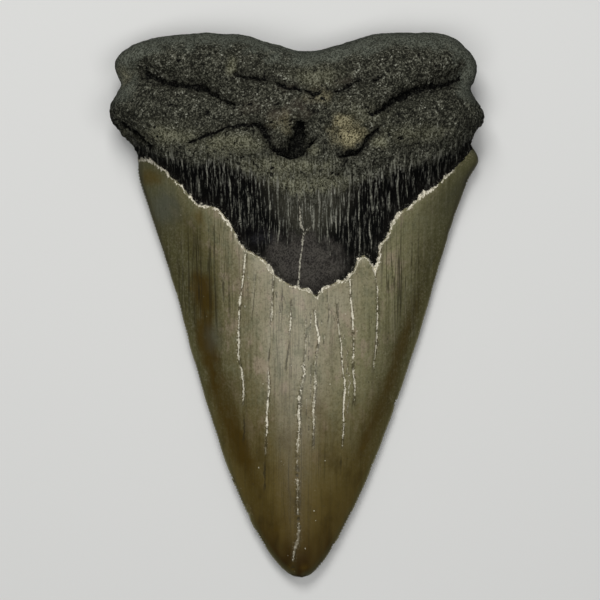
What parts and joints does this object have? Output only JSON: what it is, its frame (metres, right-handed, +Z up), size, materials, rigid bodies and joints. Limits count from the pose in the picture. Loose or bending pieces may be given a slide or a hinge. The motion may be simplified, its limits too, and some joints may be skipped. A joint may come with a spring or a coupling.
{
  "type": "fossil shark tooth",
  "caption": "Fossil megalodon tooth lying on its flat side: a tall triangular crown with sharp edges, a V-shaped dark band and a thick, lobed root.",
  "frame": {"origin": "on the supporting surface, under the middle of the tooth as seen from above", "axes": "+Z up, out of the domed lingual face; +Y from the tip of the crown to the root; +X to the right as seen from above with the root at the top"},
  "size_m": [0.0977, 0.142, 0.0303],
  "materials": {
    "fossil_tooth": "satin enamel and dull root"
  },
  "bodies": {
    "root": {"tooth": "fossil_tooth"}
  },
  "joints": []
}
